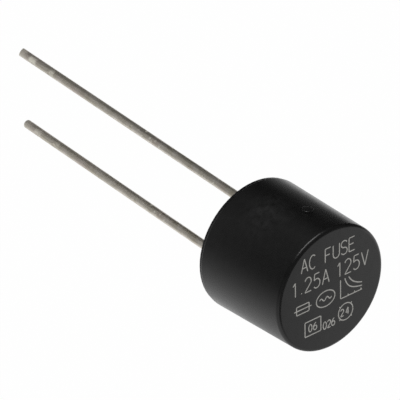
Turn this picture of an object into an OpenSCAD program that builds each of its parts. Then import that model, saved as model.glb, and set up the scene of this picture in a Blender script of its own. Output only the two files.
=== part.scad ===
// Radial lead fuse: a round moulded body on two round wire leads.
// Millimetres. The leads point down, the marked end face looks up, and the origin is the
// middle of the seating plane, which is the underside of the base.

/* [Cap] */
// Outside diameter of the cap at its open rim
cap_d = 8.5; // [8:0.1:12]
// Height of the cap, from its rim to the end face
cap_h = 6.85; // [5.5:0.05:12]
// Thickness of the cap's side wall
cap_wall = 0.7; // [0.5:0.05:0.9]
// Thickness of the cap's end wall
cap_top_t = 0.8; // [0.5:0.05:1.2]
// Mould draft of the cap's walls, in degrees
cap_draft = 1.3; // [0:0.1:2]
// Radius of the edge round the end face
cap_edge_r = 0.22; // [0.05:0.01:0.5]
// Radius of the outer edge of the open rim
rim_edge_r = 0.1; // [0.02:0.01:0.15]
// Radius of the corner inside the cap's end
cap_inner_r = 0.4; // [0.1:0.05:0.8]
// Lead-in chamfer at the mouth of the cap
mouth_chamfer = 0.1; // [0:0.02:0.2]

/* [Gate mark] */
// Diameter of the round mark that the gate left on the cap's side
gate_d = 0.7; // [0.4:0.05:1.2]
// Height of the gate mark
gate_h = 0.12; // [0.05:0.01:0.2]
// Radius of the gate mark's edge
gate_edge_r = 0.05; // [0.01:0.01:0.05]
// Height of the gate mark's middle above the cap's rim
gate_up = 4.4; // [1:0.05:4.5]
// Direction in which the gate mark faces, in degrees from the lead at +X
gate_angle = -4.5; // [-180:0.5:180]

/* [Base] */
// Thickness of the base's flange
flange_t = 0.15; // [0.15:0.05:1]
// How far the flange stays inside the cap's rim, all round
flange_step = 0.05; // [0:0.01:0.3]
// Height of the base's plug above the flange
plug_h = 1.6; // [1.2:0.1:2]
// Clearance all round between the plug and the cap
plug_gap = 0.05; // [0.02:0.01:0.1]
// Thickness of the plug's skirt
skirt_t = 0.6; // [0.4:0.05:1]
// Thickness of the floor inside the skirt, above the flange
floor_t = 0.75; // [0.4:0.05:1]
// Outside diameter of the boss round each lead
boss_d = 1.7; // [1.3:0.1:2.2]
// Height of each boss above the floor
boss_h = 1.3; // [0.8:0.1:1.6]
// Diameter of the shallow recess round each lead, in the underside
recess_d = 1.1; // [0.95:0.05:1.4]
// Depth of the recesses in the underside
recess_depth = 0.1; // [0.05:0.01:0.1]
// Diameter of the gate dimple in the middle of the underside
dimple_d = 1.2; // [0.6:0.1:2]
// Depth of the gate dimple
dimple_depth = 0.12; // [0.05:0.01:0.2]

/* [Snap fit] */
// Height of the bead that holds the cap, from the plug's side
bead_h = 0.12; // [0.06:0.01:0.2]
// Width of the bead at its root
bead_w = 0.5; // [0.3:0.05:0.8]
// Height of the bead's middle above the flange
bead_up = 0.8; // [0.6:0.05:0.9]

/* [Leads] */
// Diameter of the round lead wire
lead_d = 0.55; // [0.5:0.01:0.7]
// Distance between the two leads
lead_pitch = 5.08; // [4.6:0.02:5.4]
// Length of the right lead's wire below the seating plane
lead_l = 23.1; // [6:0.1:30]
// How much shorter the left lead was cut
left_trim = 0.2; // [0:0.05:1]
// Length below the seating plane that stays upright
lead_upright = 1; // [0.8:0.1:3]
// Lean of both leads below their upright length, in degrees
lean = 2.4; // [0:0.1:5]
// Direction in which both leads lean, in degrees from +X
lean_towards = -46; // [-180:1:180]
// Slant of the cut at the tip of the right lead, in degrees
tip_slant = 25; // [0:1:40]
// Direction in which the slanted cut faces, in degrees from +X
tip_faces = 47; // [-180:1:180]
// Radius of the edge at a lead's tip
tip_edge_r = 0.12; // [0.02:0.01:0.12]
// Distance from a lead's tip to the first of its two feeding nicks
nick_up = 1.4; // [0.8:0.1:3]
// Distance between the two nicks of a lead
nick_pitch = 1.8; // [0.8:0.1:3]
// Depth of each nick
nick_depth = 0.05; // [0.01:0.01:0.08]
// Radius of the feeding tooth that pressed the nicks
nick_r = 0.5; // [0.15:0.05:0.8]
// Direction from which the nicks were pressed, in degrees from +X
nick_faces = 95; // [-180:1:180]
// Width of the coined strip above the round wire
strip_w = 0.8; // [0.7:0.02:1]
// Thickness of the coined strip
strip_t = 0.3; // [0.2:0.02:0.4]
// Clearance all round between the strip and its slot in the base
slot_gap = 0.02; // [0.01:0.01:0.05]
// Height of the strip's prongs above the middle of the core
prong_up = 0.4; // [0.25:0.05:0.6]

/* [Fuse element] */
// Diameter of the core rod
core_d = 0.4; // [0.3:0.02:0.5]
// Length of core that stands out beyond each lead
core_overhang = 0.45; // [0.3:0.05:0.5]
// Distance from the cap's ceiling down to the middle of the core
element_drop = 1.7; // [1.2:0.1:2]
// Clearance between the core and the notch it lies in
notch_gap = 0.01; // [0.005:0.005:0.03]
// Diameter of the fuse wire
wire_d = 0.09; // [0.05:0.01:0.12]
// Clearance between the fuse wire and the core
wire_gap = 0.01; // [0.005:0.005:0.03]
// Clearance round the wire's straight ends where they run through the solder
wire_slack = 0.04; // [0.03:0.01:0.08]
// Number of turns of the fuse wire
turns = 12; // [6:1:16]
// Distance from each end of the winding to the solder joint there
winding_gap = 0.15; // [0.1:0.05:0.5]
// Diameter of each solder joint
solder_d = 1.1; // [0.9:0.05:1.2]

/* [Hidden] */
$fn = 96;
// Overshoot of a cutting shape past the surface that it cuts
past = 0.5;
// Colours
black = "#1f1f20";
tin = "#9c9a90";
fibre = "#e8e4d4";
silvered = "#c9cbc8";
// Heights above the seating plane
rim_z = flange_t;
face_z = rim_z + cap_h;
ceiling_z = face_z - cap_top_t;
floor_z = flange_t + floor_t;
plug_z = flange_t + plug_h;
boss_z = floor_z + boss_h;
core_z = ceiling_z - element_drop;
bead_z = flange_t + bead_up;
// Radii
rim_r = cap_d / 2;
mouth_r = rim_r - cap_wall;
lead_r = lead_d / 2;
lead_x = lead_pitch / 2;
// Corners of the fuse wire's section, and samples in a turn of it
wire_sides = 6;
steps_per_turn = 14;
// Share of the winding at each end over which the turns open out
easing = 0.08;
// Path radius at the samples, so that the straight stretches between them clear the core
winding_r = (core_d / 2 + wire_gap + wire_d / 2) / cos(180 / steps_per_turn / (1 - easing));
// Half lengths of the winding and of the whole wire, which ends in the solder past the strip
winding_x = lead_x - solder_d / 2 - winding_gap;
wire_end_x = lead_x + strip_t / 2 + wire_d;

// Radius of a drafted wall that starts at radius r on the rim's level
function drafted(r, z) = r - (z - rim_z) * tan(cap_draft);

// Middle of a rounding of radius e, at height z, that touches a drafted wall from inside
function edge_middle(r, z, e) = [drafted(r, z) - e / cos(cap_draft), z];

// Point where that rounding runs into the wall
function edge_end(r, z, e) = edge_middle(r, z, e) + e * [cos(cap_draft), sin(cap_draft)];

// Half outline of a drafted form with a rounded top edge and, if asked for, a rounded foot
module half_form(r, from_z, to_z, top_r, foot_r = 0) {
    top = edge_middle(r, to_z - top_r, top_r);
    foot = edge_middle(r, from_z + foot_r, foot_r);
    polygon(concat(
        [[0, from_z], [foot[0], from_z]],
        foot_r > 0 ? [edge_end(r, foot[1], foot_r)] : [],
        [edge_end(r, top[1], top_r), [top[0], to_z], [0, to_z]]
    ));
    translate(top) circle(top_r, $fn = 64);
    if (foot_r > 0) translate(foot) circle(foot_r, $fn = 64);
}

// Half outline of the snap bead on a wall of radius r, grown by a clearance. Its crest is
// a third as wide as its root.
module half_bead(r, clearance) {
    root = bead_w / 2 + clearance;
    crest = bead_w / 3 / 2 + clearance;
    polygon([
        [r - plug_gap * 2, bead_z - root],
        [r, bead_z - root],
        [r + bead_h, bead_z - crest],
        [r + bead_h, bead_z + crest],
        [r, bead_z + root],
        [r - plug_gap * 2, bead_z + root]
    ]);
}

// Round land with a rounded edge, rooted half way into the cap's wall
module gate_mark() {
    mark_z = rim_z + gate_up;
    edge_x = gate_d / 2 - gate_edge_r;
    translate([0, 0, mark_z])
        rotate([0, 90, gate_angle])
            translate([0, 0, drafted(rim_r, mark_z)])
                rotate_extrude() {
                    polygon([
                        [0, -cap_wall / 2],
                        [gate_d / 2, -cap_wall / 2],
                        [gate_d / 2, gate_h - gate_edge_r],
                        [edge_x, gate_h],
                        [0, gate_h]
                    ]);
                    translate([edge_x, gate_h - gate_edge_r]) circle(gate_edge_r, $fn = 32);
                }
}

module cap() {
    color(black) {
        rotate_extrude()
            difference() {
                half_form(rim_r, rim_z, face_z, cap_edge_r, rim_edge_r);
                half_form(mouth_r, rim_z - past, ceiling_z, cap_inner_r);
                half_bead(drafted(mouth_r, bead_z), plug_gap);
                polygon([
                    [0, rim_z],
                    [mouth_r + mouth_chamfer, rim_z],
                    [mouth_r, rim_z + mouth_chamfer],
                    [0, rim_z + mouth_chamfer]
                ]);
            }
        gate_mark();
    }
}

// Everything on the base that goes up into the cap stays inside this form
module plug_form() {
    rotate_extrude()
        polygon([
            [0, 0],
            [mouth_r - plug_gap, 0],
            [mouth_r - plug_gap, rim_z],
            [drafted(mouth_r - plug_gap, boss_z), boss_z],
            [0, boss_z]
        ]);
}

// Outline of the coined strip of a lead, seen along X, grown by a clearance
module strip_outline(from_z, to_z, clearance) {
    translate([-strip_w / 2 - clearance, from_z])
        square([strip_w + clearance * 2, to_z - from_z]);
}

// Flat slab in the YZ plane, centred on X, from the outline given
module slab(thickness) {
    rotate([90, 0, 90])
        translate([0, 0, -thickness / 2])
            linear_extrude(thickness)
                children();
}

module base() {
    color(black)
        difference() {
            union() {
                cylinder(h = flange_t, r = rim_r - flange_step);
                intersection() {
                    plug_form();
                    union() {
                        cylinder(h = floor_z, r = mouth_r);
                        difference() {
                            cylinder(h = plug_z, r = mouth_r);
                            cylinder(h = plug_z + past, r = mouth_r - plug_gap - skirt_t);
                        }
                        for (side = [-1, 1])
                            translate([side * lead_x, 0, 0])
                                cylinder(h = boss_z, d = boss_d);
                    }
                }
                rotate_extrude() half_bead(drafted(mouth_r - plug_gap, bead_z), 0);
            }
            for (side = [-1, 1])
                translate([side * lead_x, 0, 0]) {
                    translate([0, 0, -past]) cylinder(h = recess_depth + past, d = recess_d);
                    slab(strip_t + slot_gap * 2) strip_outline(0, boss_z + past, slot_gap);
                }
            translate([0, 0, -past]) cylinder(h = dimple_depth + past, d = dimple_d);
        }
}

// Block above or below the plane that halves the angle of the kink
module past_kink(from_z) {
    rotate([0, -lean / 2, 0])
        translate([-lead_d, -lead_d, from_z])
            cube(lead_d * 2);
}

// Round wire below the base: upright out of it, then leaning straight to the tip
module wire_stem(length, slant) {
    leaning_l = length - lead_upright;
    translate([0, 0, -lead_upright])
        rotate([0, 0, lean_towards]) {
            difference() {
                translate([0, 0, -lead_d])
                    cylinder(h = lead_upright + recess_depth + lead_d, r = lead_r);
                past_kink(-lead_d * 2);
            }
            difference() {
                rotate([0, -lean, 0])
                    translate([0, 0, -leaning_l])
                        cut_wire(leaning_l + lead_d, slant);
                past_kink(0);
            }
        }
}

// Two shallow dents on opposite sides of the wire, where a feeding tooth pinched it
module nick() {
    for (tooth = [0, 180])
        rotate([90, 0, nick_faces - lean_towards + tooth])
            translate([lead_r - nick_depth + nick_r, 0, 0])
                cylinder(h = lead_d * 2, r = nick_r, center = true);
}

// Half outline of a round wire with a rounded edge at its lower end
module half_wire(length) {
    polygon([
        [0, 0],
        [lead_r - tip_edge_r, 0],
        [lead_r, tip_edge_r],
        [lead_r, length],
        [0, length]
    ]);
    translate([lead_r - tip_edge_r, tip_edge_r]) circle(tip_edge_r, $fn = 64);
}

// Straight wire that ends in a sheared cut at the origin, slanted or square
module cut_wire(length, slant) {
    point_l = lead_r * tan(slant);
    difference() {
        translate([0, 0, -point_l])
            rotate_extrude() half_wire(length + point_l);
        rotate([0, -slant, tip_faces - lean_towards])
            translate([-lead_d * 2, -lead_d, -lead_d * 2])
                cube([lead_d * 4, lead_d * 2, lead_d * 2]);
        for (nick_z = [nick_up, nick_up + nick_pitch])
            translate([0, 0, nick_z]) nick();
    }
}

// Coined strip with a round-bottomed notch in its top, which carries the core
module strip() {
    notch_r = core_d / 2 + notch_gap;
    slab(strip_t)
        difference() {
            strip_outline(recess_depth, core_z + prong_up, 0);
            translate([0, core_z]) circle(notch_r, $fn = 64);
            translate([-notch_r, core_z]) square([notch_r * 2, prong_up + past]);
        }
}

module lead(side, length, slant) {
    color(tin)
        translate([side * lead_x, 0, 0]) {
            wire_stem(length, slant);
            strip();
        }
}

module lead_left() {
    lead(-1, lead_l - left_trim, 0);
}

module lead_right() {
    lead(1, lead_l, tip_slant);
}

module element_core() {
    half_l = lead_x + strip_t / 2 + core_overhang;
    color(fibre)
        translate([-half_l, 0, core_z])
            rotate([0, 90, 0])
                cylinder(h = half_l * 2, d = core_d);
}

// Share of the winding done at the share u of its length, easing in and out of the turns
function wound(u) =
    u < easing ? u * u / (2 * easing * (1 - easing))
    : u > 1 - easing ? 1 - (1 - u) * (1 - u) / (2 * easing * (1 - easing))
    : (u - easing / 2) / (1 - easing);

// Point of the fuse wire's path at distance x along the core and the share w of the winding
function wire_point(x, w) =
    let (turn = 90 + 360 * turns * w)
    [x, winding_r * cos(turn), core_z + winding_r * sin(turn)];

// Path: one straight end, the winding, and the other straight end
function wire_path() =
    let (n = turns * steps_per_turn)
    concat(
        [wire_point(-wire_end_x, 0)],
        [for (i = [0 : n]) wire_point(winding_x * (2 * i / n - 1), wound(i / n))],
        [wire_point(wire_end_x, 1)]
    );

function unit(v) = v / norm(v);

// Ring of corners round point i of a path, square to the path there
function ring(path, i) =
    let (
        last = len(path) - 1,
        along = unit(path[min(i + 1, last)] - path[max(i - 1, 0)]),
        outward = unit([0, path[i][1], path[i][2] - core_z]),
        across = unit(cross(along, outward)),
        up = cross(across, along)
    )
    [for (k = [0 : wire_sides - 1])
        let (a = 360 * k / wire_sides)
        path[i] + wire_d / 2 * (cos(a) * up + sin(a) * across)];

module element_wire() {
    path = wire_path();
    rings = len(path);
    s = wire_sides;
    color(silvered)
        polyhedron(
            points = [for (i = [0 : rings - 1]) each ring(path, i)],
            faces = concat(
                [[for (k = [s - 1 : -1 : 0]) k]],
                [for (i = [0 : rings - 2], k = [0 : s - 1])
                    [i * s + k, i * s + (k + 1) % s, (i + 1) * s + (k + 1) % s, (i + 1) * s + k]],
                [[for (k = [0 : s - 1]) (rings - 1) * s + k]]
            )
        );
}

// Rounded lump of solder round the notch, the core and the wire's end
module solder(side) {
    color(silvered)
        translate([side * lead_x, 0, core_z])
            difference() {
                sphere(d = solder_d);
                translate([0, 0, -core_z]) strip();
                rotate([0, 90, 0]) cylinder(h = solder_d + past, d = core_d, center = true);
                translate([0, 0, winding_r])
                    rotate([0, 90, 0])
                        cylinder(h = solder_d + past, d = wire_d + wire_slack * 2, center = true);
            }
}

module solder_left() {
    solder(-1);
}

module solder_right() {
    solder(1);
}

cap();
base();
lead_left();
lead_right();
element_core();
element_wire();
solder_left();
solder_right();
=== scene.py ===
import math

import bmesh
import bpy
from mathutils import Matrix, Quaternion, Vector


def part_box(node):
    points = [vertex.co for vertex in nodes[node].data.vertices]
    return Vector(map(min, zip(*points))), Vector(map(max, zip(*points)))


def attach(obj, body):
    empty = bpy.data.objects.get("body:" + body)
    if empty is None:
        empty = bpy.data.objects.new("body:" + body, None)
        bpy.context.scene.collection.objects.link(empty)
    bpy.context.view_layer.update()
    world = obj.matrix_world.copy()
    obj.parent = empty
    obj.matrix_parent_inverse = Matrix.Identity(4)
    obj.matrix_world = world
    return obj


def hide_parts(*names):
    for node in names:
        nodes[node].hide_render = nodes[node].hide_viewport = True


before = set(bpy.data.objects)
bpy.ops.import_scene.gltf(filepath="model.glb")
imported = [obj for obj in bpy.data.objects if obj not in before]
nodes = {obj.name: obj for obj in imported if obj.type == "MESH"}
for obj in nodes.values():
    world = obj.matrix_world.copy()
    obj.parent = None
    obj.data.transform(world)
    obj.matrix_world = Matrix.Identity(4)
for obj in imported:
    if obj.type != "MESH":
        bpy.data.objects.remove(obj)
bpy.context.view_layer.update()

MM = 0.001

# Camera: where it stands round the fuse, how it is rolled, the point that it looks at, and its
# lens and sensor in millimetres
CAMERA_AZIMUTH = math.radians(46.64)
CAMERA_ELEVATION = math.radians(41.45)
CAMERA_ROLL = math.radians(120.86)
CAMERA_DISTANCE = 270 * MM
CAMERA_AIM = Vector((2.027, 1.367, -3.279)) * MM
CAMERA_LENS = 405.96
SENSOR_WIDTH = 36.0

# Stage: height and width of the floor, and radius of the dark drapes that the gloss reflects
FLOOR_Z = -400 * MM
FLOOR_SIZE = 6.0
DRAPE_RADIUS = 60 * MM
# Share of plain white in the floor as it is seen. The rest is lit paper, which takes the shadow
FLOOR_WHITE = 0.96
# Elevations on the drapes between which the hem and the ceiling fade, in degrees
HEM = (-42, -32)
CEILING = (42, 57)
# How far the drapes are open at each azimuth from the camera's side, in degrees: level, and
# below, where they end above the white floor
LEVEL_OPENINGS = (
    (-180, 0.72), (-168, 0.85), (-150, 0.88), (-141, 0.5), (-131, 0.0), (-80, 0.0), (-48, 0.16),
    (-24, 0.07), (20, 0.01), (40, 0.07), (60, 0.32), (84, 0.6), (110, 0.68), (140, 0.53),
    (168, 0.56), (180, 0.72))
LOW_OPENINGS = (
    (-180, 1.0), (-150, 1.0), (-126, 0.38), (-102, 0.0), (-42, 0.0), (-10, 0.37), (35, 0.37),
    (60, 0.44), (85, 0.68), (110, 0.95), (135, 0.95), (180, 1.0))

# Cap: its sizes as moulded, which the frame's box doesn't give
CAP_RADIUS = 4.25 * MM
CAP_WALL, CAP_END = 0.7 * MM, 0.8 * MM
CAP_DRAFT = math.radians(1.3)
FACE_EDGE, RIM_EDGE, CEILING_EDGE = 0.22 * MM, 0.1 * MM, 0.4 * MM
MOUTH_CHAMFER = 0.1 * MM
# Groove that snaps over the base's bead: middle above the rim, depth, and widths at root and crest
GROOVE_UP, GROOVE_DEPTH = 0.8 * MM, 0.12 * MM
GROOVE_ROOT, GROOVE_CREST = 0.6 * MM, 0.267 * MM
# Gate mark: radius, height, radius of its edge, height above the rim and direction from +X
GATE_RADIUS, GATE_HEIGHT, GATE_EDGE = 0.35 * MM, 0.12 * MM, 0.05 * MM
GATE_UP, GATE_ANGLE = 4.4 * MM, math.radians(-4.5)
# Painted sheen: a faint soft highlight painted on the side as a lighter grey, and a spot rubbed dull
# near the rim: direction of the middle from +X, its height above the rim, radius, and radius of the
# core
PAINTED_SHEEN_SPOT = (math.radians(21), 2.8 * MM, 1.9 * MM, 0.0)
RUBBED_SPOT = (math.radians(121.6), 0.7 * MM, 0.4 * MM, 0.04 * MM)
# Segments round the cap and round the gate mark
CAP_SEGMENTS, GATE_SEGMENTS = 256, 64
# Width of the narrow bands that keep flat stretches flat beside a rounding
BAND = 0.02 * MM

# Marking: height of the ink film, width of its strokes, distance between the points along them,
# square of the share of its width that a stroke ends with, and turn of the writing from +X
INK_HEIGHT, STROKE_WIDTH, STROKE_STEP = 0.003 * MM, 0.078 * MM, 0.02 * MM
STROKE_END = 0.04
MARKING_TURN = math.radians(-90)
# Degrees between the points of an arc in the marking, and points in each period of a wave
ARC_STEP, WAVE_POINTS = 12, 14
# How narrow the marking's characters are drawn
NARROW = 0.85

# Leads: radius, distance from the middle, upright length, and lean below it with its direction
LEAD_RADIUS, LEAD_AWAY, LEAD_UPRIGHT = 0.275 * MM, 2.54 * MM, 1.0 * MM
LEAD_LEAN, LEAD_LEAN_TOWARDS = math.radians(2.4), math.radians(-46)
# Direction from which the feeding nicks were pressed, from +X, and the shares of the wire's
# radius towards it between which they fade in
NICKS_FACE = math.radians(95)
NICKS_FADE = (-0.1, 0.75)
# Heights above the tip between which the bright plating turns to the dull of handled wire
BRIGHT_FROM, DULL_UNDER = 14 * MM, 6 * MM
# Height above the tip under which the wire is scuffed all round, and how far the scuffs' ragged
# edges wander
SHEARED_END, RAGGED_EDGE = 1.0 * MM, 0.5 * MM
# How scuffed the wire is at each height above its tip: matt at the sheared end, and rubbed bright
# where the feeding teeth held it
SCUFFS = (
    (0.0, 0.4), (0.5 * MM, 0.4), (0.95 * MM, 0.06), (1.12 * MM, 0.06), (1.3 * MM, 1.0),
    (1.78 * MM, 1.0), (1.95 * MM, 0.08), (3.2 * MM, 0.04), (3.35 * MM, 0.8), (3.6 * MM, 0.8),
    (3.75 * MM, 0.0), (4.0 * MM, 0.0))
# How many flecks the plating has at each height above the tip: most of them near the body
FLECKS = ((0.0, 0.0), (9.0 * MM, 0.1), (13.0 * MM, 0.75), (22.0 * MM, 1.0))
# How strongly each lead's tip and nicks are scuffed
WEAR_LEFT, WEAR_RIGHT = 0.55, 1.0


def linear(hex_colour):
    """An sRGB hex colour as a linear RGBA colour."""
    channels = [int(hex_colour[i:i + 2], 16) / 255 for i in (1, 3, 5)]
    return tuple(c / 12.92 if c <= 0.04045 else ((c + 0.055) / 1.055) ** 2.4 for c in channels) + (1.0,)


def per_mm(size):
    """Scale of a texture whose features are size millimetres apart."""
    return 1 / (size * MM)


def add(tree, kind, inputs=None, **settings):
    """Adds a node. An input that is another node's socket is linked, and any other is its value."""
    node = tree.nodes.new(kind)
    for name, value in settings.items():
        setattr(node, name, value)
    for name, value in (inputs or {}).items():
        if isinstance(value, bpy.types.NodeSocket):
            tree.links.new(value, node.inputs[name])
        else:
            node.inputs[name].default_value = value
    return node


def new_material(name):
    """An empty node material and its tree."""
    material = bpy.data.materials.new(name)
    material.use_nodes = True
    material.node_tree.nodes.clear()
    return material, material.node_tree


def set_stops(ramp, table):
    """Sets the stops of a colour ramp to a table of places and levels, with its first place at
    the ramp's start and its last at the end, and gives the ramp's output."""
    first, last = table[0][0], table[-1][0]
    stops = ramp.color_ramp.elements
    stops.remove(stops[-1])
    for i, (place, level) in enumerate(table):
        position = (place - first) / (last - first)
        stop = stops[0] if i == 0 else stops.new(position)
        stop.position = position
        stop.color = (level, level, level, 1)
    return ramp.outputs["Color"]


def spot_on_side(tree, place, angle, up, radius, core):
    """1 in the core of a spot on the cap's side, falling to 0 at its radius."""
    spot = (CAP_RADIUS * math.cos(angle), CAP_RADIUS * math.sin(angle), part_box("cap")[0].z + up)
    away = add(tree, "ShaderNodeVectorMath", {0: place, 1: spot}, operation="DISTANCE")
    return add(tree, "ShaderNodeMapRange", {
        "Value": away.outputs["Value"], "From Min": radius, "From Max": core}).outputs["Result"]


def moulded_plastic():
    """Glass-filled PBT from a spark-eroded mould: black, half gloss, with a very fine grain."""
    material, tree = new_material("glass-filled PBT, fine moulded grain")
    place = add(tree, "ShaderNodeTexCoord").outputs["Object"]
    # The real grain is about 0.03 mm, drawn at 0.09 mm so that it still shows
    grain = add(tree, "ShaderNodeTexNoise", {
        "Vector": place, "Scale": per_mm(0.09), "Detail": 3.0, "Roughness": 0.6})
    # Patches a few tenths of a millimetre wide where the melt copied the mould less sharply
    patches = add(tree, "ShaderNodeTexNoise", {
        "Vector": place, "Scale": per_mm(0.45), "Detail": 4.0, "Roughness": 0.55})
    tone = add(tree, "ShaderNodeMapRange", {
        "Value": patches.outputs["Fac"], "From Min": 0.3, "From Max": 0.7,
        "To Min": 0.85, "To Max": 1.15})
    shade = add(tree, "ShaderNodeVectorMath", {
        0: linear("#181818")[:3], "Scale": tone.outputs["Result"]}, operation="SCALE")
    # Painted sheen: a faint soft highlight painted as a lighter grey, mottled by the patches
    mottling = add(tree, "ShaderNodeMapRange", {
        "Value": patches.outputs["Fac"], "From Min": 0.35, "From Max": 0.65, "To Max": 0.12})
    painted_sheen = add(tree, "ShaderNodeMath", {
        0: spot_on_side(tree, place, *PAINTED_SHEEN_SPOT), 1: mottling.outputs["Result"]}, operation="MULTIPLY")
    with_painted_sheen = add(tree, "ShaderNodeMix", {
        "Factor": painted_sheen.outputs["Value"], 6: shade.outputs["Vector"], 7: linear("#5e5e60")},
        data_type="RGBA")
    # Spot that was rubbed dull, with edges made ragged by the patches and the grain
    broad = add(tree, "ShaderNodeMapRange", {
        "Value": patches.outputs["Fac"], "From Min": 0.3, "From Max": 0.6})
    fine = add(tree, "ShaderNodeMapRange", {
        "Value": grain.outputs["Fac"], "From Min": 0.35, "From Max": 0.6})
    ragged = add(tree, "ShaderNodeMath", {
        0: broad.outputs["Result"], 1: fine.outputs["Result"]}, operation="MULTIPLY")
    rub = add(tree, "ShaderNodeMath", {
        0: spot_on_side(tree, place, *RUBBED_SPOT), 1: ragged.outputs["Value"]}, operation="MULTIPLY")
    rubbed = add(tree, "ShaderNodeMix", {
        "Factor": rub.outputs["Value"], 6: with_painted_sheen.outputs[2], 7: linear("#605d4e")},
        data_type="RGBA")
    gloss = add(tree, "ShaderNodeMapRange", {
        "Value": grain.outputs["Fac"], "From Min": 0.3, "From Max": 0.7,
        "To Min": 0.21, "To Max": 0.31})
    bump = add(tree, "ShaderNodeBump", {
        "Strength": 0.04, "Distance": 0.006 * MM, "Height": grain.outputs["Fac"]})
    shader = add(tree, "ShaderNodeBsdfPrincipled", {
        "Base Color": rubbed.outputs[2], "Roughness": gloss.outputs["Result"],
        "IOR": 1.5, "Normal": bump.outputs["Normal"]})
    add(tree, "ShaderNodeOutputMaterial", {"Surface": shader.outputs["BSDF"]})
    return material


def marking_ink():
    """Laser marking on black PBT: the surface foams to a thin, matt, light grey film."""
    material, tree = new_material("laser marking on PBT, foamed matt")
    place = add(tree, "ShaderNodeTexCoord").outputs["Object"]
    # The bubbles are about 0.02 mm wide, drawn at 0.08 mm so that they still show
    foam = add(tree, "ShaderNodeTexNoise", {
        "Vector": place, "Scale": per_mm(0.08), "Detail": 3.0, "Roughness": 0.7})
    share = add(tree, "ShaderNodeMapRange", {
        "Value": foam.outputs["Fac"], "From Min": 0.35, "From Max": 0.65})
    tone = add(tree, "ShaderNodeMix", {
        "Factor": share.outputs["Result"], 6: linear("#868581"), 7: linear("#9c9b97")},
        data_type="RGBA")
    bump = add(tree, "ShaderNodeBump", {
        "Strength": 0.4, "Distance": 0.004 * MM, "Height": foam.outputs["Fac"]})
    shader = add(tree, "ShaderNodeBsdfPrincipled", {
        "Base Color": tone.outputs[2], "Roughness": 0.75, "IOR": 1.45,
        "Normal": bump.outputs["Normal"]})
    add(tree, "ShaderNodeOutputMaterial", {"Surface": shader.outputs["BSDF"]})
    return material


def along_lead(tree, node, side):
    """Coordinates on a lead: Z runs up along the wire's middle from its tip, and X points to
    the side that the nicks were pressed from."""
    place = add(tree, "ShaderNodeTexCoord").outputs["Object"]
    axis = Vector((-math.sin(LEAD_LEAN_TOWARDS), math.cos(LEAD_LEAN_TOWARDS), 0))
    turn = Matrix.Rotation(-NICKS_FACE, 3, "Z") @ Matrix.Rotation(LEAD_LEAN, 3, axis)
    length = (-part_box(node)[0].z - LEAD_UPRIGHT) / math.cos(LEAD_LEAN)
    shift = Vector((0, 0, length)) - turn @ Vector((side * LEAD_AWAY, 0, -LEAD_UPRIGHT))
    return add(tree, "ShaderNodeMapping", {
        "Vector": place, "Rotation": turn.to_euler(), "Location": shift}).outputs["Vector"]


def plating(tree, on_lead, clouds):
    """Colour of the tin: olive where the clouds are low, pale where they are high, and pinkish
    in some patches."""
    pale = add(tree, "ShaderNodeMapRange", {"Value": clouds, "From Min": 0.3, "From Max": 0.7})
    tin = add(tree, "ShaderNodeMix", {
        "Factor": pale.outputs["Result"], 6: linear("#cbc4b3"), 7: linear("#e9e3da")},
        data_type="RGBA")
    # Patches about a millimetre wide, with W as their seed
    hues = add(tree, "ShaderNodeTexNoise", {
        "Vector": on_lead, "Scale": per_mm(1.1), "Detail": 2.0, "W": 3.0},
        noise_dimensions="4D")
    pinkish = add(tree, "ShaderNodeMapRange", {
        "Value": hues.outputs["Fac"], "From Min": 0.5, "From Max": 0.66, "To Max": 0.5})
    return add(tree, "ShaderNodeMix", {
        "Factor": pinkish.outputs["Result"], 6: tin.outputs[2], 7: linear("#dccfc8")},
        data_type="RGBA").outputs[2]


def scuffs(tree, on_lead, clouds, waves, wear):
    """How scuffed the wire is, 0 to wear: its sheared end all round, and the nicks on the side
    that they were pressed from."""
    place = add(tree, "ShaderNodeSeparateXYZ", {"Vector": on_lead})
    wander = add(tree, "ShaderNodeMath", {
        0: clouds, 1: RAGGED_EDGE, 2: place.outputs["Z"]}, operation="MULTIPLY_ADD")
    height = add(tree, "ShaderNodeMath", {
        0: wander.outputs["Value"], 1: RAGGED_EDGE / 2}, operation="SUBTRACT").outputs["Value"]
    along = add(tree, "ShaderNodeMapRange", {
        "Value": height, "From Min": SCUFFS[0][0], "From Max": SCUFFS[-1][0]})
    ramp = add(tree, "ShaderNodeValToRGB", {"Fac": along.outputs["Result"]})
    pressed = add(tree, "ShaderNodeMapRange", {
        "Value": place.outputs["X"], "From Min": NICKS_FADE[0] * LEAD_RADIUS,
        "From Max": NICKS_FADE[1] * LEAD_RADIUS})
    sheared = add(tree, "ShaderNodeMapRange", {
        "Value": height, "From Min": SHEARED_END, "From Max": 0.9 * SHEARED_END})
    reached = add(tree, "ShaderNodeMath", {
        0: pressed.outputs["Result"], 1: sheared.outputs["Result"]}, operation="MAXIMUM")
    patchy = add(tree, "ShaderNodeMapRange", {
        "Value": waves, "From Min": 0.25, "From Max": 0.5, "To Max": wear})
    rubbed = add(tree, "ShaderNodeMath", {
        0: reached.outputs["Value"], 1: patchy.outputs["Result"]}, operation="MULTIPLY")
    return add(tree, "ShaderNodeMath", {
        0: set_stops(ramp, SCUFFS), 1: rubbed.outputs["Value"]},
        operation="MULTIPLY").outputs["Value"]


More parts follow.
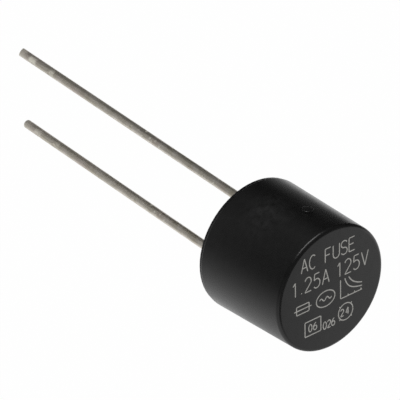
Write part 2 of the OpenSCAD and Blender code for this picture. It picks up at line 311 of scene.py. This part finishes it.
def flecks(tree, on_lead, height):
    """Pits and flecks of the plating, 0 to 1, about 0.15 mm wide and 0.4 mm apart."""
    cells = add(tree, "ShaderNodeTexVoronoi", {"Vector": on_lead, "Scale": per_mm(0.4)})
    dots = add(tree, "ShaderNodeMapRange", {
        "Value": cells.outputs["Distance"], "From Min": 0.3, "From Max": 0.12})
    # A little over half of the cells hold a fleck
    lots = add(tree, "ShaderNodeSeparateColor", {"Color": cells.outputs["Color"]})
    chosen = add(tree, "ShaderNodeMapRange", {
        "Value": lots.outputs["Red"], "From Min": 0.4, "From Max": 0.5})
    fleck = add(tree, "ShaderNodeMath", {
        0: dots.outputs["Result"], 1: chosen.outputs["Result"]}, operation="MULTIPLY")
    along = add(tree, "ShaderNodeMapRange", {
        "Value": height, "From Min": FLECKS[0][0], "From Max": FLECKS[-1][0]})
    ramp = add(tree, "ShaderNodeValToRGB", {"Fac": along.outputs["Result"]})
    return add(tree, "ShaderNodeMath", {
        0: fleck.outputs["Value"], 1: set_stops(ramp, FLECKS)},
        operation="MULTIPLY").outputs["Value"]


def tinned_wire(node, side, wear):
    """Copper wire with matt tin plating: its oxide skin scatters part of the light, so that it
    stays a warm light grey where it mirrors something dark. Fine lines run along it, its tip
    and nicks are scuffed as strongly as wear says, and small pits and flecks lie near the body."""
    material, tree = new_material("tinned copper, drawn and matt plated, " + node)
    on_lead = along_lead(tree, node, side)
    height = add(tree, "ShaderNodeSeparateXYZ", {"Vector": on_lead}).outputs["Z"]
    # Drawing lines about 0.07 mm apart and a few millimetres long
    line_place = add(tree, "ShaderNodeMapping", {"Vector": on_lead, "Scale": (1, 1, 0.03)})
    lines = add(tree, "ShaderNodeTexNoise", {
        "Vector": line_place.outputs["Vector"], "Scale": per_mm(0.07), "Detail": 3.0,
        "Roughness": 0.6}).outputs["Fac"]
    # Waves of the plating, about 0.35 mm wide and six times as long
    wave_place = add(tree, "ShaderNodeMapping", {"Vector": on_lead, "Scale": (1, 1, 0.16)})
    waves = add(tree, "ShaderNodeTexNoise", {
        "Vector": wave_place.outputs["Vector"], "Scale": per_mm(0.35), "Detail": 3.0,
        "Roughness": 0.6}).outputs["Fac"]
    # Clouds of the plating, about half a millimetre wide
    clouds = add(tree, "ShaderNodeTexNoise", {
        "Vector": on_lead, "Scale": per_mm(0.5), "Detail": 4.0, "Roughness": 0.6}).outputs["Fac"]
    worn = add(tree, "ShaderNodeMath", {
        0: scuffs(tree, on_lead, clouds, waves, wear), 1: flecks(tree, on_lead, height)},
        operation="MAXIMUM").outputs["Value"]
    colour = add(tree, "ShaderNodeMix", {
        "Factor": worn, 6: plating(tree, on_lead, clouds), 7: linear("#efece0")},
        data_type="RGBA")
    # Worn places are less metallic and rougher, and so a little is the wire that was handled
    dull = add(tree, "ShaderNodeMapRange", {
        "Value": height, "From Min": BRIGHT_FROM, "From Max": DULL_UNDER}).outputs["Result"]
    plated = add(tree, "ShaderNodeMapRange", {"Value": worn, "To Min": 0.87, "To Max": 0.45})
    skin = add(tree, "ShaderNodeMath", {
        0: dull, 1: -0.03, 2: plated.outputs["Result"]}, operation="MULTIPLY_ADD")
    gloss = add(tree, "ShaderNodeMapRange", {
        "Value": lines, "From Min": 0.3, "From Max": 0.7, "To Min": 0.29, "To Max": 0.43})
    scuffed = add(tree, "ShaderNodeMath", {
        0: worn, 1: 0.28, 2: gloss.outputs["Result"]}, operation="MULTIPLY_ADD")
    rough = add(tree, "ShaderNodeMath", {
        0: dull, 1: 0.12, 2: scuffed.outputs["Value"]}, operation="MULTIPLY_ADD")
    wavy = add(tree, "ShaderNodeBump", {
        "Strength": 0.9, "Distance": 0.05 * MM, "Height": waves})
    scored = add(tree, "ShaderNodeBump", {
        "Strength": 0.25, "Distance": 0.01 * MM, "Height": lines,
        "Normal": wavy.outputs["Normal"]})
    pitted = add(tree, "ShaderNodeBump", {
        "Strength": 0.5, "Distance": 0.02 * MM, "Height": worn,
        "Normal": scored.outputs["Normal"]})
    shader = add(tree, "ShaderNodeBsdfPrincipled", {
        "Base Color": colour.outputs[2], "Metallic": skin.outputs["Value"],
        "Roughness": rough.outputs["Value"], "Normal": pitted.outputs["Normal"]})
    add(tree, "ShaderNodeOutputMaterial", {"Surface": shader.outputs["BSDF"]})
    return material


def soft_solder():
    """Tin solder as it froze: pale grey metal with a slightly wrinkled skin."""
    material, tree = new_material("tin solder, frozen skin")
    place = add(tree, "ShaderNodeTexCoord").outputs["Object"]
    # Wrinkles of the skin, about 0.12 mm apart
    skin = add(tree, "ShaderNodeTexNoise", {
        "Vector": place, "Scale": per_mm(0.12), "Detail": 4.0, "Roughness": 0.6})
    gloss = add(tree, "ShaderNodeMapRange", {
        "Value": skin.outputs["Fac"], "From Min": 0.3, "From Max": 0.7,
        "To Min": 0.25, "To Max": 0.45})
    bump = add(tree, "ShaderNodeBump", {
        "Strength": 0.3, "Distance": 0.01 * MM, "Height": skin.outputs["Fac"]})
    shader = add(tree, "ShaderNodeBsdfPrincipled", {
        "Base Color": linear("#c4c4c0"), "Metallic": 1.0, "Roughness": gloss.outputs["Result"],
        "Normal": bump.outputs["Normal"]})
    add(tree, "ShaderNodeOutputMaterial", {"Surface": shader.outputs["BSDF"]})
    return material


def fibre_rod():
    """Pultruded glass fibre rod: off-white resin with glass strands that run along X."""
    material, tree = new_material("glass fibre rod, pultruded")
    place = add(tree, "ShaderNodeTexCoord").outputs["Object"]
    # Strands about 0.04 mm thick
    along = add(tree, "ShaderNodeMapping", {"Vector": place, "Scale": (0.03, 1, 1)})
    strands = add(tree, "ShaderNodeTexNoise", {
        "Vector": along.outputs["Vector"], "Scale": per_mm(0.04), "Detail": 2.0})
    tone = add(tree, "ShaderNodeMix", {
        "Factor": strands.outputs["Fac"], 6: linear("#d9d2b8"), 7: linear("#f2eedf")},
        data_type="RGBA")
    bump = add(tree, "ShaderNodeBump", {
        "Strength": 0.3, "Distance": 0.005 * MM, "Height": strands.outputs["Fac"]})
    shader = add(tree, "ShaderNodeBsdfPrincipled", {
        "Base Color": tone.outputs[2], "Roughness": 0.5, "IOR": 1.52,
        "Normal": bump.outputs["Normal"]})
    add(tree, "ShaderNodeOutputMaterial", {"Surface": shader.outputs["BSDF"]})
    return material


def fuse_wire():
    """Silver-plated copper fuse wire: bright, with patches of faint tarnish."""
    material, tree = new_material("silver-plated copper wire, bright")
    place = add(tree, "ShaderNodeTexCoord").outputs["Object"]
    # The patches are about 0.2 mm wide
    tarnish = add(tree, "ShaderNodeTexNoise", {
        "Vector": place, "Scale": per_mm(0.2), "Detail": 3.0})
    tone = add(tree, "ShaderNodeMix", {
        "Factor": tarnish.outputs["Fac"], 6: linear("#d8d5cc"), 7: linear("#f0eeea")},
        data_type="RGBA")
    gloss = add(tree, "ShaderNodeMapRange", {
        "Value": tarnish.outputs["Fac"], "To Min": 0.15, "To Max": 0.35})
    shader = add(tree, "ShaderNodeBsdfPrincipled", {
        "Base Color": tone.outputs[2], "Metallic": 1.0, "Roughness": gloss.outputs["Result"]})
    add(tree, "ShaderNodeOutputMaterial", {"Surface": shader.outputs["BSDF"]})
    return material


def seen_rays(tree):
    """1 for the rays that show the background: the camera's, and those through gloss and glass."""
    path = add(tree, "ShaderNodeLightPath")
    mirrored = add(tree, "ShaderNodeMath", {
        0: path.outputs["Is Camera Ray"], 1: path.outputs["Is Glossy Ray"]}, operation="MAXIMUM")
    return add(tree, "ShaderNodeMath", {
        0: mirrored.outputs["Value"], 1: path.outputs["Is Transmission Ray"]},
        operation="MAXIMUM").outputs["Value"]


def arc(centre_u, centre_v, radius_u, radius_v, start, end):
    """Points of an elliptical arc, from and to angles in degrees."""
    count = max(2, round(abs(end - start) / ARC_STEP))
    angles = [math.radians(start + (end - start) * i / count) for i in range(count + 1)]
    return [(centre_u + radius_u * math.cos(a), centre_v + radius_v * math.sin(a)) for a in angles]


# Strokes of each character, in a cell whose height is 1
CHARACTERS = {
    " ": [],
    "0": [[*arc(0.3, 0.5, 0.3, 0.5, 0, 360)]],
    "C": [[*arc(0.36, 0.5, 0.34, 0.5, 50, 310)]],
    "F": [[(0, 0), (0, 1)], [(0, 1), (0.56, 1)], [(0, 0.52), (0.46, 0.52)]],
    "U": [[(0, 1), *arc(0.31, 0.31, 0.31, 0.31, 180, 360), (0.62, 1)]],
    "S": [[*arc(0.3, 0.75, 0.29, 0.25, 20, 270), *arc(0.3, 0.25, 0.3, 0.25, 90, -160)]],
    "E": [[(0, 0), (0, 1)], [(0, 1), (0.56, 1)], [(0, 0.52), (0.46, 0.52)], [(0, 0), (0.56, 0)]],
    "A": [[(0, 0), (0.32, 1)], [(0.32, 1), (0.64, 0)], [(0.11, 0.34), (0.53, 0.34)]],
    "V": [[(0, 1), (0.32, 0)], [(0.32, 0), (0.64, 1)]],
    "1": [[(0.12, 0.78), (0.34, 1)], [(0.34, 1), (0.34, 0)]],
    "2": [[*arc(0.3, 0.71, 0.29, 0.29, 165, -25), (0, 0)], [(0, 0), (0.6, 0)]],
    "4": [[(0.44, 0), (0.44, 1)], [(0.44, 1), (0, 0.3)], [(0, 0.3), (0.62, 0.3)]],
    "5": [[(0.54, 1), (0.1, 1)], [(0.1, 1), (0.05, 0.55)],
          [(0.05, 0.55), *arc(0.28, 0.32, 0.31, 0.32, 110, -145)]],
    "6": [[(0.5, 1), *arc(0.4, 0.3, 0.4, 0.6, 120, 180), *arc(0.3, 0.3, 0.3, 0.3, 180, 540)]],
    ".": [[(0.1, 0.02), (0.1, 0.12)]],
}


def word(text, u, v, height, pitch):
    """Strokes of a word whose first character stands at u, v. A full stop takes half a pitch."""
    strokes, place = [], u
    for character in text:
        strokes += [[(place + height * NARROW * a, v + height * b) for a, b in stroke]
                    for stroke in CHARACTERS[character]]
        place += pitch * (0.5 if character == "." else 1)
    return strokes


def rectangle(u, v, half_u, half_v):
    """Strokes of a rectangle round u, v."""
    corners = [(u - half_u, v - half_v), (u + half_u, v - half_v),
               (u + half_u, v + half_v), (u - half_u, v + half_v)]
    return [[corners[i], corners[(i + 1) % 4]] for i in range(4)]


def wave(u, v, width, periods):
    """A sine wave, the sign of alternating current."""
    steps = WAVE_POINTS * periods
    swing = 0.22 * width / periods
    return [[(u + width * (i / steps - 0.5), v + swing * math.sin(2 * math.pi * periods * i / steps))
             for i in range(steps + 1)]]


def fuse_sign(u, v, width):
    """The common circuit sign of a fuse: a box with the wire drawn through it."""
    wire = [(u - width / 2, v), (u + width / 2, v)]
    return rectangle(u, v, width * 0.36, width * 0.21) + [wire]


def supply_sign(u, v, half_u, half_v):
    """The common circuit sign of an alternating supply: a ring round waves."""
    return [arc(u, v, half_u, half_v, 0, 360)] + wave(u, v, half_u * 1.3, 2)


def melting_graph(u, v, width, height):
    """The common graph of a fuse: its melting time falls as the current rises."""
    left, low, mark = u - width / 2, v - height / 2, height * 0.1
    steps = 12
    axes = [[(left, low + height), (left, low)], [(left, low), (left + width, low)]]
    ticks = [[(left + width * share, low), (left + width * share, low + mark)]
             for share in (0.35, 0.65, 0.95)]
    curves = [[(left + width * least ** (1 - i / steps), low + height * least ** (i / steps))
               for i in range(steps + 1)] for least in (0.2, 0.38)]
    return axes + ticks + curves


def year_dial(u, v, radius):
    """The dial that moulders use for the year: a ring with four ticks round two digits."""
    ring = arc(u, v, radius, radius, 0, 360)
    ticks = [[(u + radius * math.cos(a), v + radius * math.sin(a)),
              (u + radius * 1.22 * math.cos(a), v + radius * 1.22 * math.sin(a))]
             for a in (math.radians(45 + 90 * i) for i in range(4))]
    return [ring] + ticks + word("24", u - radius * 0.7, v - radius * 0.42, radius * 0.84,
                                 radius * 0.72)


def marking_strokes():
    """All strokes of the marking, in millimetres on the face, read along u with v up. A word
    has its start, height and pitch, and a sign its middle and size."""
    strokes = word("AC FUSE", -2.3, 1.97, 0.93, 0.62)
    strokes += word("1.25A", -3.05, 0.55, 0.98, 0.68)
    strokes += word("125V", 0.42, 0.55, 0.98, 0.66)
    strokes += fuse_sign(-2.2, -0.48, 1.35)
    strokes += supply_sign(-0.42, -0.5, 0.73, 0.53)
    strokes += melting_graph(1.6, -0.36, 1.7, 1.3)
    strokes += rectangle(-1.42, -2.04, 0.62, 0.5)
    strokes += word("06", -1.75, -2.3, 0.5, 0.37)
    strokes += word("026", -0.62, -2.6, 0.5, 0.33)
    strokes += year_dial(1.15, -2.04, 0.57)
    return strokes


def stroke_tree():
    """Turns centre lines into crowned ribbons with round ends, flattened on to the face."""
    tree = bpy.data.node_groups.new("marking strokes", "GeometryNodeTree")
    face = tree.interface
    face.new_socket("Geometry", in_out="INPUT", socket_type="NodeSocketGeometry")
    for name in ("Half width", "Film height", "Step"):
        face.new_socket(name, in_out="INPUT", socket_type="NodeSocketFloat")
    face.new_socket("Ink", in_out="INPUT", socket_type="NodeSocketMaterial")
    face.new_socket("Geometry", in_out="OUTPUT", socket_type="NodeSocketGeometry")
    given = add(tree, "NodeGroupInput").outputs
    line = add(tree, "GeometryNodeResampleCurve", {
        "Curve": given["Geometry"], "Length": given["Step"]}, mode="LENGTH")
    level = add(tree, "GeometryNodeSetCurveNormal", {"Curve": line.outputs["Curve"]}, mode="Z_UP")
    # Distance to the nearer end, as a share of the half width, gives the round end's outline
    done = add(tree, "GeometryNodeSplineParameter").outputs["Length"]
    whole = add(tree, "GeometryNodeSplineLength").outputs["Length"]
    left = add(tree, "ShaderNodeMath", {0: whole, 1: done}, operation="SUBTRACT")
    nearer = add(tree, "ShaderNodeMath", {0: done, 1: left.outputs["Value"]}, operation="MINIMUM")
    short = add(tree, "ShaderNodeMapRange", {
        "Value": nearer.outputs["Value"], "From Min": 0.0, "From Max": given["Half width"],
        "To Min": 1.0, "To Max": 0.0})
    square = add(tree, "ShaderNodeMath", {
        0: short.outputs["Result"], 1: short.outputs["Result"]}, operation="MULTIPLY")
    rest = add(tree, "ShaderNodeMath", {
        0: 1 + STROKE_END, 1: square.outputs["Value"]}, operation="SUBTRACT")
    width = add(tree, "ShaderNodeMath", {0: rest.outputs["Value"]}, operation="SQRT")
    ring = add(tree, "GeometryNodeCurvePrimitiveCircle", {
        "Resolution": 8, "Radius": given["Half width"]})
    flat = add(tree, "ShaderNodeMath", {
        0: given["Film height"], 1: given["Half width"]}, operation="DIVIDE")
    scale = add(tree, "ShaderNodeCombineXYZ", {"X": 1.0, "Y": flat.outputs["Value"], "Z": 1.0})
    profile = add(tree, "GeometryNodeTransform", {
        "Geometry": ring.outputs["Curve"], "Scale": scale.outputs["Vector"]})
    ribbon = add(tree, "GeometryNodeCurveToMesh", {
        "Curve": level.outputs["Curve"], "Profile Curve": profile.outputs["Geometry"],
        "Scale": width.outputs["Value"], "Fill Caps": True})
    real = add(tree, "GeometryNodeRealizeInstances", {"Geometry": ribbon.outputs["Mesh"]})
    inked = add(tree, "GeometryNodeSetMaterial", {
        "Geometry": real.outputs["Geometry"], "Material": given["Ink"]})
    add(tree, "NodeGroupOutput", {"Geometry": inked.outputs["Geometry"]})
    return tree


def baked(name, carrier, tree, values):
    """The mesh that a Geometry Nodes tree makes of the carrier, as a plain object."""
    modifier = carrier.modifiers.new("nodes", "NODES")
    modifier.node_group = tree
    for item in tree.interface.items_tree:
        if item.in_out == "INPUT" and item.name in values:
            modifier[item.identifier] = values[item.name]
    evaluated = carrier.evaluated_get(bpy.context.evaluated_depsgraph_get())
    mesh = bpy.data.meshes.new_from_object(evaluated)
    bpy.data.objects.remove(carrier)
    made = bpy.data.objects.new(name, mesh)
    bpy.context.scene.collection.objects.link(made)
    return made


def face_marking(ink):
    """The printed marking, as a thin film on the cap's end face."""
    face_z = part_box("cap")[1].z
    turn = Matrix.Rotation(MARKING_TURN, 4, "Z")
    lines = bpy.data.curves.new("marking lines", "CURVE")
    lines.dimensions = "3D"
    for stroke in marking_strokes():
        spline = lines.splines.new("POLY")
        spline.points.add(len(stroke) - 1)
        for point, (u, v) in zip(spline.points, stroke):
            point.co = (*(turn @ Vector((u * MM, v * MM, face_z))), 1)
    carrier = bpy.data.objects.new("marking lines", lines)
    bpy.context.scene.collection.objects.link(carrier)
    marking = baked("face_marking", carrier, stroke_tree(), {
        "Half width": STROKE_WIDTH / 2, "Film height": INK_HEIGHT, "Step": STROKE_STEP,
        "Ink": ink})
    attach(marking, "root")


def lathe(name, outline, segments):
    """A solid turned round Z from its half outline, a list of radii and heights that runs
    with the solid on its left."""
    mesh = bmesh.new()
    rings = []
    for radius, height in outline:
        count = segments if radius > 0 else 1
        turns = [2 * math.pi * i / segments for i in range(count)]
        rings.append([mesh.verts.new((radius * math.cos(a), radius * math.sin(a), height))
                      for a in turns])
    for lower, upper in zip(rings, rings[1:] + rings[:1]):
        if len(lower) == len(upper) == 1:
            continue
        for i in range(segments):
            j = (i + 1) % segments
            corners = [lower[i % len(lower)], lower[j % len(lower)],
                       upper[j % len(upper)], upper[i % len(upper)]]
            mesh.faces.new(list(dict.fromkeys(corners)))
    data = bpy.data.meshes.new(name)
    mesh.to_mesh(data)
    mesh.free()
    turned = bpy.data.objects.new(name, data)
    bpy.context.scene.collection.objects.link(turned)
    return turned


def rounding(middle, radius, start, end):
    """Points of a rounding in the half outline, from and to angles in degrees."""
    steps = 10
    angles = [math.radians(start + (end - start) * i / steps) for i in range(steps + 1)]
    return [(middle[0] + radius * math.cos(a), middle[1] + radius * math.sin(a)) for a in angles]


def cap_outline(rim_z, face_z):
    """Half outline of the cap: a drafted cup, open downwards, with a snap groove inside."""
    def wall(radius, height):
        """Radius of a drafted wall at a height, from its radius at the rim."""
        return radius - (height - rim_z) * math.tan(CAP_DRAFT)

    def corner(radius, height, edge):
        """Middle of the rounding that ends such a wall at a height."""
        return wall(radius, height) - edge / math.cos(CAP_DRAFT), height

    draft = math.degrees(CAP_DRAFT)
    mouth, ceiling_z, groove_z = CAP_RADIUS - CAP_WALL, face_z - CAP_END, rim_z + GROOVE_UP
    foot = corner(CAP_RADIUS, rim_z + RIM_EDGE, RIM_EDGE)
    edge = corner(CAP_RADIUS, face_z - FACE_EDGE, FACE_EDGE)
    inner = corner(mouth, ceiling_z - CEILING_EDGE, CEILING_EDGE)
    deep = wall(mouth, groove_z) + GROOVE_DEPTH
    outline = [(mouth + MOUTH_CHAMFER, rim_z), (foot[0] - BAND, rim_z)]
    outline += rounding(foot, RIM_EDGE, -90, draft)
    outline += [(wall(CAP_RADIUS, z), z) for z in (foot[1] + BAND, edge[1] - BAND)]
    outline += rounding(edge, FACE_EDGE, draft, 90)
    outline += [(edge[0] - BAND, face_z), (0, face_z), (0, ceiling_z), (inner[0] - BAND, ceiling_z)]
    outline += rounding(inner, CEILING_EDGE, 90, draft)
    outline += [(wall(mouth, inner[1] - BAND), inner[1] - BAND)]
    for side, width in ((1, GROOVE_ROOT), (1, GROOVE_CREST), (-1, GROOVE_CREST), (-1, GROOVE_ROOT)):
        z = groove_z + side * width / 2
        outline.append((wall(mouth, z) if width == GROOVE_ROOT else deep, z))
    return outline + [(mouth, rim_z + MOUTH_CHAMFER)]


def moulded_cap(plastic):
    """The cap in fine segments: the turned cup with the round mark of its gate."""
    low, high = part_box("cap")
    cap = lathe("cap_shell", cap_outline(low.z, high.z), CAP_SEGMENTS)
    edge = (GATE_RADIUS - GATE_EDGE, GATE_HEIGHT - GATE_EDGE)
    outline = [(0, -CAP_WALL / 2), (GATE_RADIUS, -CAP_WALL / 2), *rounding(edge, GATE_EDGE, 0, 90)]
    gate = lathe("gate mark", outline + [(0, GATE_HEIGHT)], GATE_SEGMENTS)
    out = CAP_RADIUS - GATE_UP * math.tan(CAP_DRAFT)
    place = Matrix.Rotation(GATE_ANGLE, 4, "Z") @ Matrix.Translation((out, 0, low.z + GATE_UP))
    gate.data.transform(place @ Matrix.Rotation(math.radians(90), 4, "Y"))
    union = cap.modifiers.new("gate mark", "BOOLEAN")
    union.operation, union.object, union.solver = "UNION", gate, "EXACT"
    evaluated = cap.evaluated_get(bpy.context.evaluated_depsgraph_get())
    mesh = bpy.data.meshes.new_from_object(evaluated)
    cap.modifiers.remove(union)
    cap.data = mesh
    bpy.data.objects.remove(gate)
    mesh.shade_smooth()
    mesh.set_sharp_from_angle(angle=math.radians(25))
    mesh.materials.clear()
    mesh.materials.append(plastic)
    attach(cap, "root")
    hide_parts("cap")


def dress(node, material):
    """Gives a CAD node its finish."""
    node.data.materials.clear()
    node.data.materials.append(material)


def pale_floor():
    """Wide matt white floor, which the camera and the gloss see as plain white."""
    bpy.ops.mesh.primitive_plane_add(size=FLOOR_SIZE, location=(0, 0, FLOOR_Z))
    floor = bpy.context.object
    floor.name = "floor"
    material, tree = new_material("white paper sweep, matt")
    paper = add(tree, "ShaderNodeBsdfDiffuse", {"Color": linear("#fbfbfa")})
    white = add(tree, "ShaderNodeEmission", {"Color": linear("#ffffff"), "Strength": 1.0})
    seen = add(tree, "ShaderNodeMath", {
        0: seen_rays(tree), 1: FLOOR_WHITE}, operation="MULTIPLY")
    mix = add(tree, "ShaderNodeMixShader", {
        0: seen.outputs["Value"], 1: paper.outputs["BSDF"], 2: white.outputs["Emission"]})
    add(tree, "ShaderNodeOutputMaterial", {"Surface": mix.outputs["Shader"]})
    floor.data.materials.append(material)


def height_step(tree, height, start, end):
    """0 below one elevation on the drapes and 1 above the other, in degrees."""
    return add(tree, "ShaderNodeMapRange", {
        "Value": height, "From Min": DRAPE_RADIUS * math.sin(math.radians(start)),
        "From Max": DRAPE_RADIUS * math.sin(math.radians(end))},
        interpolation_type="SMOOTHSTEP").outputs["Result"]


def dark_drapes():
    """Black studio drapes, seen by gloss alone: they close the front and the ceiling, and open
    to the sides, behind and towards the floor, so that the white sweep shows along the edges."""
    bpy.ops.mesh.primitive_uv_sphere_add(segments=96, ring_count=48, radius=DRAPE_RADIUS)
    drapes = bpy.context.object
    drapes.name = "drapes"
    drapes.visible_camera = False
    drapes.visible_diffuse = False
    drapes.visible_transmission = False
    drapes.visible_volume_scatter = False
    drapes.visible_shadow = False
    material, tree = new_material("black drape, opening to the sides and the floor")
    place = add(tree, "ShaderNodeTexCoord").outputs["Object"]
    # The gradient is 0.5 on the camera's side and runs once round, from 0 to 1
    facing = add(tree, "ShaderNodeMapping", {
        "Vector": place, "Rotation": (0, 0, -CAMERA_AZIMUTH)})
    azimuth = add(tree, "ShaderNodeTexGradient", {
        "Vector": facing.outputs["Vector"]}, gradient_type="RADIAL").outputs["Fac"]
    low, level = [set_stops(add(tree, "ShaderNodeValToRGB", {"Fac": azimuth}), table)
                  for table in (LOW_OPENINGS, LEVEL_OPENINGS)]
    height = add(tree, "ShaderNodeSeparateXYZ", {"Vector": place}).outputs["Z"]
    side = add(tree, "ShaderNodeMix", {
        "Factor": height_step(tree, height, *HEM), 6: low, 7: level}, data_type="RGBA")
    opening = add(tree, "ShaderNodeMix", {
        "Factor": height_step(tree, height, *CEILING), 6: side.outputs[2],
        7: linear("#000000")}, data_type="RGBA")
    clear = add(tree, "ShaderNodeBsdfTransparent")
    cloth = add(tree, "ShaderNodeEmission", {"Color": linear("#000000"), "Strength": 0.0})
    mix = add(tree, "ShaderNodeMixShader", {
        0: opening.outputs[2], 1: cloth.outputs["Emission"], 2: clear.outputs["BSDF"]})
    add(tree, "ShaderNodeOutputMaterial", {"Surface": mix.outputs["Shader"]})
    drapes.data.materials.append(material)


def towards(azimuth, elevation):
    """Unit vector at an azimuth from the camera's side and an elevation, in degrees."""
    a, e = CAMERA_AZIMUTH + math.radians(azimuth), math.radians(elevation)
    return Vector((math.cos(e) * math.cos(a), math.cos(e) * math.sin(a), math.sin(e)))


def softbox(name, azimuth, elevation, distance, size, brightness, lights):
    """An area lamp that looks at the fuse and lights its matt side or shows in its gloss alone.
    brightness is what a white card right in front shows."""
    lamp = bpy.data.lights.new(name, "AREA")
    lamp.shape = "RECTANGLE"
    lamp.size, lamp.size_y = size
    lamp.energy = brightness * math.pi * size[0] * size[1]
    holder = bpy.data.objects.new(name, lamp)
    away = towards(azimuth, elevation)
    holder.location = away * distance
    holder.rotation_mode = "QUATERNION"
    holder.rotation_quaternion = away.to_track_quat("Z", "Y")
    holder.visible_camera = False
    holder.visible_glossy = lights == "gloss"
    holder.visible_diffuse = lights == "matt"
    bpy.context.scene.collection.objects.link(holder)


def studio():
    """White world, soft lamps, floor and drapes."""
    world = bpy.data.worlds.new("white studio")
    world.use_nodes = True
    bpy.context.scene.world = world
    tree = world.node_tree
    tree.nodes.clear()
    # Plain white where it is seen, and a little less as light on the object
    strength = add(tree, "ShaderNodeMapRange", {
        "Value": seen_rays(tree), "To Min": 0.7, "To Max": 1.0})
    white = add(tree, "ShaderNodeBackground", {
        "Color": linear("#ffffff"), "Strength": strength.outputs["Result"]})
    add(tree, "ShaderNodeOutputWorld", {"Surface": white.outputs["Background"]})
    softbox("key softbox", 105, 50, 600 * MM, (400 * MM, 400 * MM), 1.5, "matt")
    softbox("overhead softbox", 0, 90, 1200 * MM, (1200 * MM, 1200 * MM), 0.8, "matt")
    # The bright strip stays under the plane of the end face, so that the face never mirrors it
    softbox("front strip", -39, 1.5, 50 * MM, (37 * MM, 11 * MM), 5.0, "gloss")
    softbox("front card", -39, 14, 50 * MM, (37 * MM, 11 * MM), 1.6, "gloss")
    pale_floor()
    dark_drapes()


def photo_camera():
    """The camera at the photograph's angle."""
    data = bpy.data.cameras.new("camera")
    data.lens, data.sensor_width = CAMERA_LENS, SENSOR_WIDTH
    data.clip_start, data.clip_end = 10 * MM, 100.0
    camera = bpy.data.objects.new("camera", data)
    back = towards(0, math.degrees(CAMERA_ELEVATION))
    camera.location = CAMERA_AIM + back * CAMERA_DISTANCE
    camera.rotation_mode = "QUATERNION"
    camera.rotation_quaternion = Quaternion(back, CAMERA_ROLL) @ back.to_track_quat("Z", "Y")
    bpy.context.scene.collection.objects.link(camera)
    bpy.context.scene.camera = camera


bpy.context.scene.view_settings.view_transform = "Standard"
photo_camera()
studio()

plastic = moulded_plastic()
solder = soft_solder()
moulded_cap(plastic)
dress(nodes["base"], plastic)
dress(nodes["lead_left"], tinned_wire("lead_left", -1, WEAR_LEFT))
dress(nodes["lead_right"], tinned_wire("lead_right", 1, WEAR_RIGHT))
dress(nodes["element_core"], fibre_rod())
dress(nodes["element_wire"], fuse_wire())
dress(nodes["solder_left"], solder)
dress(nodes["solder_right"], solder)
face_marking(marking_ink())
